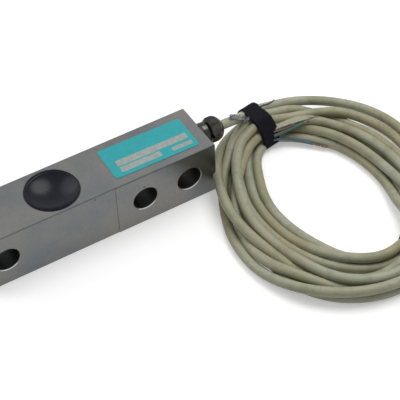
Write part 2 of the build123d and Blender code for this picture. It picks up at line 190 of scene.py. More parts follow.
# Each turn in the order it was wound, at the same places: lane in cable diameters from the inner edge, and
# height of the cable's middle. The rows that stay hidden under others lie flat on the bench.
coil_turns = [
    [
        (3.0, 11.5), (3.65, 10.1), (4.59, 8.3), (5.66, 6.2), (6.5, 4.6), (7.18, 3.7), (7.17, 3.6),
        (6.47, 3.6), (5.44, 5.4), (4.26, 7.5), (3.56, 7.9), (4.16, 7.8), (4.72, 7.8), (5.71, 7.7),
        (6.44, 6.2), (6.4, 2.9), (5.76, 2.6), (4.85, 2.6), (4.12, 4.8), (2.96, 7.6), (2.53, 9.3),
    ],
    [
        (2.16, 11.8), (2.69, 9.8), (3.61, 6.9), (4.23, 2.8), (4.2, 2.6), (4.25, 2.6), (4.23, 2.6),
        (3.98, 2.6), (3.52, 2.6), (2.97, 2.6), (2.45, 2.6), (3.05, 2.6), (3.73, 2.6), (4.5, 2.6),
        (5.19, 6.3), (5.55, 5.8), (4.73, 3.6), (3.58, 7.3), (2.36, 7.6), (1.39, 7.6), (0.88, 7.7),
    ],
    [
        (0.51, 8), (0.76, 8.2), (1.25, 8.5), (2.03, 7.7), (2.3, 7.4), (2.5, 7.7), (2.61, 7.7),
        (2.63, 7.7), (2.41, 9.2), (1.79, 9.5), (1.57, 7.8), (2.23, 5.9), (2.73, 2.8), (3.5, 2.6),
        (4.19, 2.8), (4.49, 7.2), (4.65, 8.7), (4.63, 9.5), (4.39, 9.7), (3.97, 7.9), (3.44, 6.3),
    ],
    [
        (2.81, 7.2), (3.25, 5.2), (3.16, 2.6), (3.01, 2.6), (2.69, 2.6), (2.73, 2.6), (2.74, 2.6),
        (2.77, 2.6), (2.53, 3.9), (2.67, 7.3), (2.56, 7.8), (3.17, 7.8), (3.71, 7.8), (4.13, 7.5),
        (3.91, 7.6), (3.48, 6.9), (3.39, 8.8), (3, 12), (2.58, 12.6), (2.03, 11.7), (1.55, 11.6),
    ],
    [
        (1.17, 11.9), (1.69, 10), (2.36, 8.1), (3.43, 7.6), (4.47, 7.4), (5.56, 4.2), (5.86, 2.7),
        (5.33, 2.6), (4.58, 2.6), (3.99, 2.6), (3.44, 2.7), (4.05, 2.6), (4.72, 2.6), (5.5, 2.6),
        (5.78, 2.6), (4.8, 2.6), (3.7, 2.6), (3.4, 2.6), (3.21, 2.6), (3.13, 2.6), (2.68, 2.6),
    ],
    [
        (2.18, 2.6), (2.39, 2.6), (2.15, 2.6), (1.89, 2.6), (1.6, 2.6), (1.6, 2.6), (1.57, 2.6),
        (1.62, 2.6), (1.14, 2.6), (0.78, 2.6), (0.4, 2.6), (0.46, 2.6), (0.53, 2.6), (0.51, 2.6),
        (0.32, 2.6), (0.25, 2.6), (0.29, 2.6), (0.21, 2.6), (0.12, 2.6), (0.16, 2.6), (0.1, 2.6),
    ],
    [
        (0.25, 2.7), (0.68, 2.8), (0.55, 2.8), (0.45, 2.6), (0.49, 2.6), (0.45, 2.6), (0.42, 2.6),
        (0.49, 2.6), (0.04, 4.3), (0.2, 6.7), (0.49, 7.8), (0.89, 7.3), (1.02, 7.2), (1.21, 6.4),
        (1.29, 4.2), (1.25, 2.6), (1.31, 2.6), (1.3, 2.6), (1.16, 2.6), (1.16, 2.6), (1.09, 2.6),
    ],
    [
        (1.25, 2.7), (1.66, 3.0), (1.4, 4.8), (1.1, 6.7), (0.89, 7.4), (0.88, 7.3), (0.99, 7),
        (1.19, 7.3), (1.47, 7.4), (1.72, 4.3), (1.39, 2.7), (1.47, 2.6), (1.55, 2.6), (1.88, 2.6),
        (2.22, 2.6), (2.25, 2.6), (2.31, 2.6), (2.37, 2.6), (2.19, 2.6), (2.15, 2.9), (1.87, 5.6),
    ],
]
coil_end = (1.67, 7.3)

# The straps go under the turns at these places, and lift them a little as far as a place to each side. The
# lift and the reach are in millimetres and in places.
tie_places = (0, 10, len(coil_edges))
tape_under, tape_reach = 1.35, 0.9


def smooth_run(values, places):
    """A smooth line through values that are given at whole places, closed into a ring."""
    count = len(values)
    i = np.floor(places).astype(int)
    t = (places - i).reshape(-1, *[1] * (values.ndim - 1))
    a, b, c, d = (values[(i + k) % count] for k in (-1, 0, 1, 2))
    return 0.5 * (2 * b + (c - a) * t + (2 * a - 5 * b + 4 * c - d) * t**2 + (3 * b - a - 3 * c + d) * t**3)


def wind_coil(rounds=70, points_per_place=4):
    """Lays the turns where they are wanted, then lets them push each other apart until they only touch."""
    contact, near = cable_diameter * 1.03, cable_diameter * 2.2
    push_share, smoothing, kept = 0.55, 0.2, 0.985
    own_length, look_again = points_per_place * 6, 10
    count = len(coil_edges)
    in_order = [spot for turn in coil_turns for spot in turn]
    laid_out = np.array([in_order[0], *in_order, coil_end, coil_end])
    along = (np.arange(count * len(coil_turns) * points_per_place + 1) - 1) / points_per_place
    lane, height = smooth_run(laid_out, along + 1).T
    inner, outer = np.moveaxis(smooth_run(coil_edges, along % count), 1, 0)
    across = (outer - inner) / np.linalg.norm(outer - inner, axis=1)[:, None]
    from_tie = np.min([np.abs(along % count - tie) for tie in tie_places], axis=0)
    lifted = tape_under * np.exp(-((from_tie / tape_reach) ** 2))
    wanted = np.column_stack((inner + across * lane[:, None] * cable_diameter, height + lifted))
    laid = wanted.copy()
    first, second = np.triu_indices(len(laid), k=own_length)
    for number in range(rounds):
        if number % look_again == 0:
            close = np.linalg.norm(laid[first] - laid[second], axis=1) < near
            ones, others = first[close], second[close]
        apart = laid[ones] - laid[others]
        distance = np.linalg.norm(apart, axis=1)
        touching = distance < contact
        a, b = ones[touching], others[touching]
        push = (push_share * (contact / np.maximum(distance[touching], 1e-6) - 1))[:, None] * apart[touching]
        moves, pushes = np.zeros_like(laid), np.zeros(len(laid))
        np.add.at(moves, a, push)
        np.add.at(moves, b, -push)
        np.add.at(pushes, a, 1)
        np.add.at(pushes, b, 1)
        strayed = laid + moves / np.maximum(pushes, 1)[:, None] - wanted
        strayed[1:-1] = (1 - 2 * smoothing) * strayed[1:-1] + smoothing * (strayed[:-2] + strayed[2:])
        laid = wanted + strayed * kept
        laid[:, 2] = np.maximum(laid[:, 2], cable_diameter / 2 + lifted)
    return laid


def spline(name, points, diameter, resolution=6, roundness=5, radii=None):
    """A smooth curve that the points pull into shape, as one open spline. Points are in millimetres."""
    curve = bpy.data.curves.new(name, "CURVE")
    curve.dimensions = "3D"
    line = curve.splines.new("NURBS")
    line.points.add(len(points) - 1)
    for number, (point, place) in enumerate(zip(line.points, points)):
        point.co = (*(float(c) * mm for c in place), 1.0)
        point.radius = 1.0 if radii is None else radii[number]
    line.order_u = 3
    line.use_endpoint_u = True
    line.resolution_u = resolution
    curve.bevel_depth = diameter * mm / 2
    curve.bevel_resolution = roundness
    curve.use_fill_caps = True
    return curve


def centreline(curve):
    """The points of a curve's own line, read from it with no bevel."""
    bare = curve.copy()
    bare.bevel_depth = 0.0
    holder = bpy.data.objects.new("line", bare)
    scene.collection.objects.link(holder)
    bpy.context.view_layer.update()
    mesh = bpy.data.meshes.new_from_object(holder.evaluated_get(bpy.context.evaluated_depsgraph_get()))
    points = [vertex.co.copy() for vertex in mesh.vertices]
    bpy.data.objects.remove(holder)
    bpy.data.meshes.remove(mesh)
    bpy.data.curves.remove(bare)
    return points


# Extruded soft PVC with matting agent: even satin, no grain. Handling has left it mottled, browner in one
# stretch and greyer in another, with specks 2.4 mm and patches 16 mm apart. The eye reads that as separate
# turns of one used cable.
jacket, tree, output = new_material("satin extruded PVC jacket")
where = add_node(tree, "ShaderNodeTexCoord")
stretch_count = 34  # along the cable's 2.65 m, so one every 78 mm
along_cable = add_node(
    tree, "ShaderNodeMapping", {"Vector": where.outputs["UV"], "Scale": (stretch_count, 0.6, 1.0)}
)
stretches = add_node(
    tree,
    "ShaderNodeTexNoise",
    {"Vector": along_cable.outputs[0], "Scale": 1.0, "Detail": 1.0, "Roughness": 0.5},
)
dirt = add_node(
    tree,
    "ShaderNodeTexNoise",
    {"Vector": where.outputs["Object"], "Scale": 1 / (2.38 * mm), "Detail": 4.0, "Roughness": 0.75},
)
grime = add_node(
    tree,
    "ShaderNodeTexNoise",
    {"Vector": where.outputs["Object"], "Scale": 1 / (16.1 * mm), "Detail": 2.0, "Roughness": 0.6},
)
brown = add_node(
    tree, "ShaderNodeMapRange", {"Value": stretches.outputs["Fac"], "From Min": 0.40, "From Max": 0.62}
)
hue = add_node(
    tree,
    "ShaderNodeMix",
    {"Factor": brown.outputs[0], 6: linear("9ea08c"), 7: linear("969072")},
    data_type="RGBA",
)
spots = add_node(
    tree,
    "ShaderNodeMapRange",
    {"Value": grime.outputs["Fac"], "From Min": 0.48, "From Max": 0.70, "To Max": 0.6},
)
mottled = add_node(
    tree,
    "ShaderNodeMix",
    {"Factor": spots.outputs[0], 6: hue.outputs[2], 7: linear("77755b")},
    data_type="RGBA",
)
specks = add_node(
    tree,
    "ShaderNodeMapRange",
    {"Value": dirt.outputs["Fac"], "From Min": 0.54, "From Max": 0.76, "To Max": 0.55},
)
soiled = add_node(
    tree,
    "ShaderNodeMix",
    {"Factor": specks.outputs[0], 6: mottled.outputs[2], 7: linear("56533d")},
    data_type="RGBA",
)
dull = add_node(
    tree,
    "ShaderNodeMapRange",
    {"Value": dirt.outputs["Fac"], "From Min": 0.3, "From Max": 0.7, "To Min": 0.42, "To Max": 0.58},
)
skin = add_node(
    tree, "ShaderNodeBump", {"Height": dirt.outputs["Fac"], "Strength": 0.12, "Distance": 0.2 * mm}
)
face = add_node(
    tree,
    "ShaderNodeBsdfPrincipled",
    {
        "Base Color": soiled.outputs[2],
        "Roughness": dull.outputs[0],
        "Normal": skin.outputs[0],
        "IOR": 1.53,
        "Specular IOR Level": 0.3,
    },
)
tree.links.new(face.outputs[0], output.inputs["Surface"])

# The lead takes the place of the coil's first two points, and every second one after them is enough.
coil_points = wind_coil()[2::2]
cable_points = lead_points + [tuple(point) for point in coil_points]
cable_curve = spline("cable", cable_points, cable_diameter, resolution=5, roundness=6)
cable = piece("cable", cable_curve, jacket)
cable_line = centreline(cable_curve)
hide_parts("cable_lead", "cable_coil")
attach(cable, "root")


# Two straps of woven hook-and-loop tape hold the turns together. Each is 11 mm wide, goes once round the
# bundle and is pressed onto itself on the outer side, so its cut end lies on top of the first layer.
strap_width = 11.0
tape_thickness = 1.1
loop_row, loop_size, fuzz_size = 0.898, 0.74, 0.2

# Black nylon woven with a dense pile of small loops: a deep navy-black that takes no shine, with faint rows
# of loops 0.9 mm apart and a little light caught in the pile along the edges. The UV map is in millimetres,
# and a wave texture repeats ten times in each pi of its scaled length.
pile, tree, output = new_material("woven nylon loop tape")
where = add_node(tree, "ShaderNodeTexCoord")
rows = add_node(
    tree,
    "ShaderNodeTexWave",
    {
        "Vector": where.outputs["UV"],
        "Scale": math.pi / (10 * loop_row),
        "Distortion": 1.6,
        "Detail": 2.0,
        "Detail Scale": 1.5,
    },
    bands_direction="X",
)
loops = add_node(
    tree, "ShaderNodeTexVoronoi", {"Vector": where.outputs["UV"], "Scale": 1 / loop_size, "Randomness": 0.8}
)
fuzz = add_node(
    tree,
    "ShaderNodeTexNoise",
    {"Vector": where.outputs["UV"], "Scale": 1 / fuzz_size, "Detail": 3.0, "Roughness": 0.7},
)
pile_height = add_node(
    tree, "ShaderNodeMath", {0: rows.outputs["Fac"], 1: loops.outputs["Distance"]}, operation="MULTIPLY_ADD"
)
tree.links.new(fuzz.outputs["Fac"], pile_height.inputs[2])
shade = add_node(
    tree, "ShaderNodeMapRange", {"Value": pile_height.outputs[0], "From Min": 0.3, "From Max": 1.3}
)
thread = add_node(
    tree,
    "ShaderNodeMix",
    {"Factor": shade.outputs[0], 6: linear("08080f"), 7: linear("171722")},
    data_type="RGBA",
)
nap = add_node(
    tree, "ShaderNodeBump", {"Height": pile_height.outputs[0], "Strength": 0.9, "Distance": 0.4 * mm}
)
face = add_node(
    tree,
    "ShaderNodeBsdfPrincipled",
    {
        "Base Color": thread.outputs[2],
        "Roughness": 0.95,
        "Specular IOR Level": 0.15,
        "Sheen Weight": 0.04,
        "Sheen Roughness": 0.4,
        "Normal": nap.outputs[0],
        "IOR": 1.5,
    },
)
tree.links.new(face.outputs[0], output.inputs["Surface"])


def hull_of(spots):
    """The outline of flat spots, anticlockwise: the shortest loop that goes round them all."""
    hull = []
    for ordered in (sorted(spots), sorted(spots, reverse=True)):
        side = []
        for x, y in ordered:
            while len(side) > 1:
                (ax, ay), (bx, by) = side[-2:]
                if (bx - ax) * (y - by) > (by - ay) * (x - bx):
                    break
                side.pop()
            side.append((x, y))
        hull += side[:-1]
    return hull


def round_the_turns(place, heading):
    """The line that a taut tape takes round the turns, across them at this place: the hull of all the circles
    where the cable's own line passes through. It is in millimetres, across the turns and up."""
    bundle_reach, circle_steps, tape_step = 25.0, 24, 0.7
    turn = Matrix.Rotation(math.radians(heading), 3, "Z")
    travel, across, middle = turn @ Vector((1, 0, 0)), turn @ Vector((0, 1, 0)), Vector((*place, 0))
    rim = []
    for a, b in zip(cable_line, cable_line[1:]):
        a, b = a / mm - middle, b / mm - middle
        if a.dot(travel) * b.dot(travel) <= 0 and a.length < bundle_reach:
            spot = a.lerp(b, a.dot(travel) / (a.dot(travel) - b.dot(travel)))
            for step in range(circle_steps):
                angle = 2 * math.pi * step / circle_steps
                over, up = cable_diameter / 2 * math.cos(angle), cable_diameter / 2 * math.sin(angle)
                rim.append((spot.dot(across) + over, spot.z + up))
    outline = [Vector(spot) for spot in hull_of(rim)]
    line = []
    for a, b in zip(outline, outline[1:] + outline[:1]):
        parts = max(1, round((b - a).length / tape_step))
        line += [a.lerp(b, part / parts) for part in range(parts)]
    return line


def strap(name, solid, place, heading):
    """One tape wound once round a bundle, up its outer side, and lapped over its own start."""
    start_height, end_height, lap_steps = 3.0, 8.5, 7
    ribs, bench_clear, turn_clear, layer_clear = 13, 0.05, 0.05, 0.03
    selvedge, thinned, lifted_edge, edge_pull = 0.2, 0.3, 0.12, 0.12

    bundle = round_the_turns(place, heading)
    outer_side = max(spot.x for spot in bundle)
    count = len(bundle)
    start = min(range(count), key=lambda i: (bundle[i] - Vector((outer_side, start_height))).length)
    end = min(range(count), key=lambda i: (bundle[i] - Vector((outer_side, end_height))).length) + count
    while end - start < count:
        end += count
    along = []
    for number in range(start, end + 1):
        tangent = (bundle[(number + 1) % count] - bundle[(number - 1) % count]).normalized()
        lap = min(1.0, max(0.0, (number - start - count + lap_steps) / lap_steps))
        rise = turn_clear + (tape_thickness + layer_clear) * lap * lap * (3 - 2 * lap)
        along.append((bundle[number % count], Vector((tangent.y, -tangent.x)), rise))

    # Each row goes across the tape: its inner face, and then its outer face, which thins towards the edges.
    turn = Matrix.Rotation(math.radians(heading), 3, "Z")
    travel, across = turn @ Vector((1, 0, 0)), turn @ Vector((0, 1, 0))
    mesh = bmesh.new()
    uv = mesh.loops.layers.uv.new("UVMap")
    run, spots, rows = 0.0, {}, []
    for number, (here, outward, rise) in enumerate(along):
        if number:
            run += (here - along[number - 1][0]).length
        row = []
        for side in (0, 1):
            # The edges wander by up to a quarter of a millimetre, in waves of 7 mm and 2.7 mm.
            wander = 0.14 * math.sin(run * 0.9 + 2 * side) + 0.1 * math.sin(run * 2.3 + 1.1)
            for rib in range(ribs):
                t = rib / (ribs - 1) * 2 - 1
                sign = 1 if t > 0 else -1
                edge = max(0.0, abs(t) - (1 - selvedge)) / selvedge
                out = tape_thickness * (1 - thinned * edge**2 if side else lifted_edge * edge**2)
                spot = here + outward * (rise + out)
                sideways = t * strap_width / 2 + sign * (wander * abs(t) ** 3 - edge_pull * abs(t))
                place_mm = Vector((*place, spot.y)) + across * spot.x + travel * sideways
                place_mm.z = max(place_mm.z, bench_clear)
                vertex = mesh.verts.new(place_mm * mm)
                spots[vertex] = (run, t * strap_width / 2)
                row.append(vertex)
        rows.append(row)
    for before, after in zip(rows, rows[1:]):
        for rib in range(ribs - 1):
            top = ribs + rib
            mesh.faces.new((before[top], before[top + 1], after[top + 1], after[top]))
            mesh.faces.new((before[rib], after[rib], after[rib + 1], before[rib + 1]))
        mesh.faces.new((before[0], before[ribs], after[ribs], after[0]))
        mesh.faces.new((before[ribs - 1], after[ribs - 1], after[2 * ribs - 1], before[2 * ribs - 1]))
    for row in (rows[0], rows[-1]):
        for rib in range(ribs - 1):
            mesh.faces.new((row[rib], row[rib + 1], row[ribs + rib + 1], row[ribs + rib]))
    bmesh.ops.recalc_face_normals(mesh, faces=mesh.faces)
    for face in mesh.faces:
        face.smooth = True
        for loop in face.loops:
            loop[uv].uv = spots[loop.vert]
    data = bpy.data.meshes.new(name)
    mesh.to_mesh(data)
    mesh.free()
    made = piece(name, data, pile)
    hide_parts(solid)
    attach(made, "root")
    return made


near_strap = strap("near_strap", "strap_near", place=(103.2, 4.55), heading=9.8)
far_strap = strap("far_strap", "strap_far", place=(129.2, -107.95), heading=-141.0)


# At the coil's inner end the jacket is stripped back under the near strap. The four conductors come out
# over the turns, each in its own colour of insulation, with the last few millimetres of strands bare.

# Each conductor's route, its diameter, the length of its bare tip and the colour of its insulation
conductors = {
    "white": (
        [
            (107.0, -3.9, 10.4), (109.0, -4.3, 10.7), (113.2, -5.0, 11.2),
            (119.0, -6.2, 11.5), (123.0, -7.0, 11.8), (126.7, -7.7, 11.6),
        ],
        1.3,
        7.0,
        "9b9d8e",
    ),
    "green": (
        [
            (106.8, -5.8, 7.8), (108.7, -6.1, 8.2), (113.1, -7.0, 8.8),
            (118.9, -8.0, 10.2), (123.4, -9.2, 11.4),
        ],
        2.0,
        3.5,
        "2b554c",
    ),
    "red": (
        [
            (107.0, -5.3, 10.2), (108.7, -5.5, 10.2), (111.4, -6.1, 10.0),
            (114.1, -6.7, 10.5), (116.2, -7.0, 10.9),
        ],
        0.9,
        3.0,
        "6a3a30",
    ),
    "blue": (
        [
            (106.0, -6.2, 5.4), (107.9, -7.0, 5.8), (110.2, -7.4, 5.2), (113.6, -8.5, 4.4),
            (118.4, -12.2, 4.0), (122.4, -16.2, 3.0), (123.9, -17.9, 2.9),
        ],
        1.4,
        8.0,
        "1d4b60",
    ),
}


def insulation(name, colour):
    """Thin extruded PVC over fine strands: smooth and slightly glossy, with patches of dirt from handling."""
    made, tree, output = new_material(name)
    where = add_node(tree, "ShaderNodeTexCoord")
    smear = add_node(
        tree,
        "ShaderNodeTexNoise",
        {"Vector": where.outputs["Object"], "Scale": 1 / (2.38 * mm), "Detail": 3.0, "Roughness": 0.6},
    )
    soil = add_node(
        tree,
        "ShaderNodeMapRange",
        {"Value": smear.outputs["Fac"], "From Min": 0.45, "From Max": 0.8, "To Max": 0.6},
    )
    tone = add_node(
        tree,
        "ShaderNodeMix",
        {"Factor": soil.outputs[0], 6: linear(colour), 7: linear("4a4a42")},
        data_type="RGBA",
    )
    gloss = add_node(
        tree, "ShaderNodeMapRange", {"Value": smear.outputs["Fac"], "To Min": 0.3, "To Max": 0.5}
    )
    face = add_node(
        tree,
        "ShaderNodeBsdfPrincipled",
        {"Base Color": tone.outputs[2], "Roughness": gloss.outputs[0], "IOR": 1.53},
    )
    tree.links.new(face.outputs[0], output.inputs["Surface"])
    return made


# Six strands of 0.34 mm are drawn for the many finer ones of a real conductor, which wouldn't show.
strand_count, strand_gauge, lay_radius, lay_turns, splay = 6, 0.34, 0.36, 1.6, 0.7


def strands(name, axis_from, axis_to, seed):
    """Fine wires twisted round one of their own on a straight axis, opening out towards the cut end."""
    steps = 13
    chance = np.random.default_rng(seed)
    start, stop = Vector(axis_from), Vector(axis_to)
    way = (stop - start).normalized()
    side = way.cross(Vector((0, 0, 1))).normalized()
    over = side.cross(way)
    curve = bpy.data.curves.new(name, "CURVE")
    curve.dimensions = "3D"
    for number in range(strand_count):
        line = curve.splines.new("NURBS")
        line.points.add(steps)
        opened = splay * chance.uniform(0.2, 1.0)
        cut = chance.uniform(0.9, 1.0)
        for step, point in enumerate(line.points):
            t = step / steps * cut
            angle = 2 * math.pi * (number / strand_count + lay_turns * t)
            out = lay_radius * (1 + opened * t * t) if number else 0.0
            spot = start.lerp(stop, t) + (side * math.cos(angle) + over * math.sin(angle)) * out
            point.co = (*(spot * mm), 1.0)
        line.order_u = 3
        line.use_endpoint_u = True
        line.resolution_u = 3
    curve.bevel_depth = strand_gauge * mm / 2
    curve.bevel_resolution = 2
    curve.use_fill_caps = True
    made = piece(name, curve, copper)
    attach(made, "root")
    return made


# Bare copper, drawn into fine strands and twisted: pinkish metal that has dulled to brown in places.
copper, tree, output = new_material("drawn bare copper strands")
where = add_node(tree, "ShaderNodeTexCoord")
tarnish = add_node(
    tree, "ShaderNodeTexNoise", {"Vector": where.outputs["Object"], "Scale": 1 / (1.11 * mm), "Detail": 3.0}
)
dulled = add_node(
    tree, "ShaderNodeMapRange", {"Value": tarnish.outputs["Fac"], "From Min": 0.4, "From Max": 0.7}
)
tone = add_node(
    tree,
    "ShaderNodeMix",
    {"Factor": dulled.outputs[0], 6: linear("8e7468"), 7: linear("46352d")},
    data_type="RGBA",
)
face = add_node(
    tree, "ShaderNodeBsdfPrincipled", {"Base Color": tone.outputs[2], "Metallic": 1.0, "Roughness": 0.38}
)
tree.links.new(face.outputs[0], output.inputs["Surface"])

wires, tips, tip_overlap = [], [], 0.5
for number, (name, (route, across, tip, colour)) in enumerate(conductors.items()):
    curve = spline(f"conductor_{name}_wire", route, across, resolution=8, roundness=4)
    wire = piece(f"wire_{name}", curve, insulation(f"extruded {name} wire insulation", colour))
    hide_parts(f"conductor_{name}")
    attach(wire, "root")
    last, before = Vector(route[-1]), Vector(route[-2])
    way = (last - before).normalized()
    wires.append(wire)
    tips.append(strands(f"tip_{name}", last - way * tip_overlap, last + way * tip, 40 + number))
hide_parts("bare_tips")


# The braided shield was combed out, twisted and laid back along the cable, and pokes out of the strap over
# the lead. A thin dark drain wire leaves the other side of the strap along the outermost turn.
shield_route = [
    (99.6, 5.6, 15.2), (97.8, 4.9, 16.2), (95.5, 4.9, 18.4),
    (91.2, 2.8, 22.9), (87.2, 1.9, 26.0), (84.6, 1.5, 27.3),
]
drain_route = [
    (107.5, 11.0, 14.6), (111.2, 11.8, 14.2), (113.6, 11.6, 13.7),
    (116.6, 12.2, 13.2), (119.6, 13.6, 12.6),
]
shield_wires, shield_gauge = 18, 0.34  # fewer and thicker than the real ones, which wouldn't show

# Tinned copper drawn fine: bright silver with dark gaps between the wires, a little grey where it oxidised.
tinned, tree, output = new_material("drawn tinned copper braid")
where = add_node(tree, "ShaderNodeTexCoord")
oxide = add_node(
    tree, "ShaderNodeTexNoise", {"Vector": where.outputs["Object"], "Scale": 1 / (1.43 * mm), "Detail": 3.0}
)
greyed = add_node(
    tree, "ShaderNodeMapRange", {"Value": oxide.outputs["Fac"], "From Min": 0.4, "From Max": 0.7}
)
tone = add_node(
    tree,
    "ShaderNodeMix",
    {"Factor": greyed.outputs[0], 6: linear("a9aaac"), 7: linear("4a4b4f")},
    data_type="RGBA",
)
face = add_node(
    tree, "ShaderNodeBsdfPrincipled", {"Base Color": tone.outputs[2], "Metallic": 1.0, "Roughness": 0.33}
)
tree.links.new(face.outputs[0], output.inputs["Surface"])

chance = np.random.default_rng(7)
guide = spline("shield_line", shield_route, 0.0, resolution=6)
shield_line = [Vector(p) / mm for p in centreline(guide)]
braid = bpy.data.curves.new("shield_tail", "CURVE")
braid.dimensions = "3D"
last_step = len(shield_line) - 1
for number in range(shield_wires):
    line = braid.splines.new("NURBS")
    line.points.add(last_step)
    ring, turns, opening = 0.3 + 0.33 * (number % 3), chance.uniform(0.8, 1.6), chance.uniform(0.0, 0.9)
    for step, (point, spot) in enumerate(zip(line.points, shield_line)):
        t = step / last_step
        ahead = shield_line[min(step + 1, last_step)] - shield_line[max(step - 1, 0)]
        side = ahead.cross(Vector((0, 0, 1))).normalized()
        over = side.cross(ahead).normalized()
        angle = 2 * math.pi * (number / shield_wires + turns * t)
        out = ring * (1 + opening * t) * (0.9 + 0.1 * math.sin(9 * t + number))
        place = spot + side * math.cos(angle) * out + over * math.sin(angle) * out
        point.co = (*(place * mm), 1.0)
    line.order_u = 3
    line.use_endpoint_u = True
    line.resolution_u = 3
braid.bevel_depth = shield_gauge * mm / 2
braid.bevel_resolution = 2
braid.use_fill_caps = True
shield_tail = piece("shield_tail", braid, tinned)
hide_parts("shield_pigtail")
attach(shield_tail, "root")

drain_curve = spline("drain", drain_route, 1.0, resolution=8, roundness=4, radii=[1.0, 1.0, 0.9, 0.75, 0.5])
drain = piece("drain_tail", drain_curve, insulation("extruded dark wire insulation", "33353a"))
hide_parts("drain_wire")
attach(drain, "root")


# The beam is one bar of alloy steel, sawn, milled and ground square, bored across for its bolts, and then
# nickel plated. A painted dark shade line runs along its long front edge, and a painted glint lights the
# bores' lower rims.
def coat(material, *names):
    """Gives CAD solids a material."""
    for name in names:
        for place in solids[name].material_slots:
            place.material = material


# Plating over fine grinding: dull satin grey, faintly blue in one place and yellow in another, with small
# marks. The grinding is under 0.1 mm apart, too fine to show, and is drawn 1.1 mm apart. The long front
# edge is a painted dark shade line, and the bores' lower rims carry a painted light glint.
steel, tree, output = new_material("ground nickel-plated steel")
where = add_node(tree, "ShaderNodeTexCoord")
streak, gap = 16.7 * mm, 1.11 * mm
ground = add_node(
    tree, "ShaderNodeMapping", {"Vector": where.outputs["Object"], "Scale": (1 / streak, 1 / gap, 1 / gap)}
)
lines = add_node(
    tree, "ShaderNodeTexNoise", {"Vector": ground.outputs[0], "Scale": 1.0, "Detail": 3.0, "Roughness": 0.6}
)
cloud = add_node(
    tree,
    "ShaderNodeTexNoise",
    {"Vector": where.outputs["Object"], "Scale": 1 / (29.4 * mm), "Detail": 5.0, "Roughness": 0.62},
)
grain = add_node(
    tree,
    "ShaderNodeTexNoise",
    {"Vector": where.outputs["Object"], "Scale": 1 / (0.77 * mm), "Detail": 2.0, "Roughness": 0.7},
)
cast = add_node(
    tree, "ShaderNodeMapRange", {"Value": cloud.outputs["Fac"], "From Min": 0.35, "From Max": 0.65}
)
tint = add_node(
    tree,
    "ShaderNodeMix",
    {"Factor": cast.outputs[0], 6: linear("676b6e"), 7: linear("767470")},
    data_type="RGBA",
)
speck = add_node(
    tree,
    "ShaderNodeMapRange",
    {"Value": grain.outputs["Fac"], "From Min": 0.3, "From Max": 0.75, "To Min": 0.0, "To Max": 0.35},
)
plate = add_node(
    tree,
    "ShaderNodeMix",
    {"Factor": speck.outputs[0], 6: tint.outputs[2], 7: linear("505250")},
    data_type="RGBA",
)
marks = add_node(
    tree,
    "ShaderNodeTexVoronoi",
    {"Vector": where.outputs["Object"], "Scale": 1 / (11.1 * mm), "Randomness": 1.0},
)
pits = add_node(
    tree,
    "ShaderNodeMapRange",
    {"Value": marks.outputs["Distance"], "From Min": 0.03, "From Max": 0.07, "To Min": 1.0, "To Max": 0.0},
)
pitted = add_node(
    tree,
    "ShaderNodeMix",
    {"Factor": pits.outputs[0], 6: plate.outputs[2], 7: linear("3c3c3b")},
    data_type="RGBA",
)

# Slanted faces are told by their normal: low down they get a painted glint on the bores' lower rims, and at
# the top painted shade on the ends of the long edge. The rest of that edge is sharp in the solid, so its
# painted shade line is drawn by place.
facing = add_node(tree, "ShaderNodeNewGeometry")
normal = add_node(tree, "ShaderNodeSeparateXYZ", {"Vector": facing.outputs["True Normal"]})
spot = add_node(tree, "ShaderNodeSeparateXYZ", {"Vector": where.outputs["Object"]})
slope = add_node(
    tree, "ShaderNodeMath", {0: normal.outputs["Y"], 1: normal.outputs["Z"]}, operation="MULTIPLY"
)
chamfered = add_node(
    tree,
    "ShaderNodeMapRange",
    {"Value": slope.outputs[0], "From Min": -0.3, "From Max": -0.42, "To Max": 0.85},
)
upper = add_node(
    tree, "ShaderNodeMapRange", {"Value": spot.outputs["Z"], "From Min": 28 * mm, "From Max": 30 * mm}
)
# Painted light: a bright glint colour for the low rims, and a dark shade colour for the top edge
edge = add_node(
    tree,
    "ShaderNodeMix",
    {"Factor": upper.outputs[0], 6: linear("c4c6c8"), 7: linear("34393e")},
    data_type="RGBA",
)
front = add_node(
    tree, "ShaderNodeMapRange", {"Value": spot.outputs["Y"], "From Min": -15.1 * mm, "From Max": -15.5 * mm}
)
top = add_node(
    tree,
    "ShaderNodeMapRange",
    {"Value": spot.outputs["Z"], "From Min": 31.1 * mm, "From Max": 31.5 * mm, "To Max": 0.6},
)
# Painted shade line along the long front top edge, drawn by place
painted_edge_shade_line = add_node(tree, "ShaderNodeMath", {0: front.outputs[0], 1: top.outputs[0]}, operation="MULTIPLY")
painted_glint_and_shade_mask = add_node(
    # Where the painted glint and the painted edge shade go
    tree, "ShaderNodeMath", {0: chamfered.outputs[0], 1: painted_edge_shade_line.outputs[0]}, operation="MAXIMUM"
)
# The plate colour with the painted glint and the painted edge shade laid over it
plate_with_painted_edges = add_node(
    tree,
    "ShaderNodeMix",
    {"Factor": painted_glint_and_shade_mask.outputs[0], 6: pitted.outputs[2], 7: edge.outputs[2]},
    data_type="RGBA",
)
rough = add_node(tree, "ShaderNodeMapRange", {"Value": cloud.outputs["Fac"], "To Min": 0.28, "To Max": 0.42})
relief = add_node(tree, "ShaderNodeMath", {0: lines.outputs["Fac"], 1: grain.outputs["Fac"]}, operation="ADD")
scratch = add_node(
    tree, "ShaderNodeBump", {"Height": relief.outputs[0], "Strength": 0.12, "Distance": 0.08 * mm}
)
face = add_node(
    tree,
    "ShaderNodeBsdfPrincipled",
    {
        "Base Color": plate_with_painted_edges.outputs[2],
        "Metallic": 1.0,
        "Roughness": rough.outputs[0],
        "Normal": scratch.outputs[0],
    },
)
tree.links.new(face.outputs[0], output.inputs["Surface"])
coat(steel, "beam")


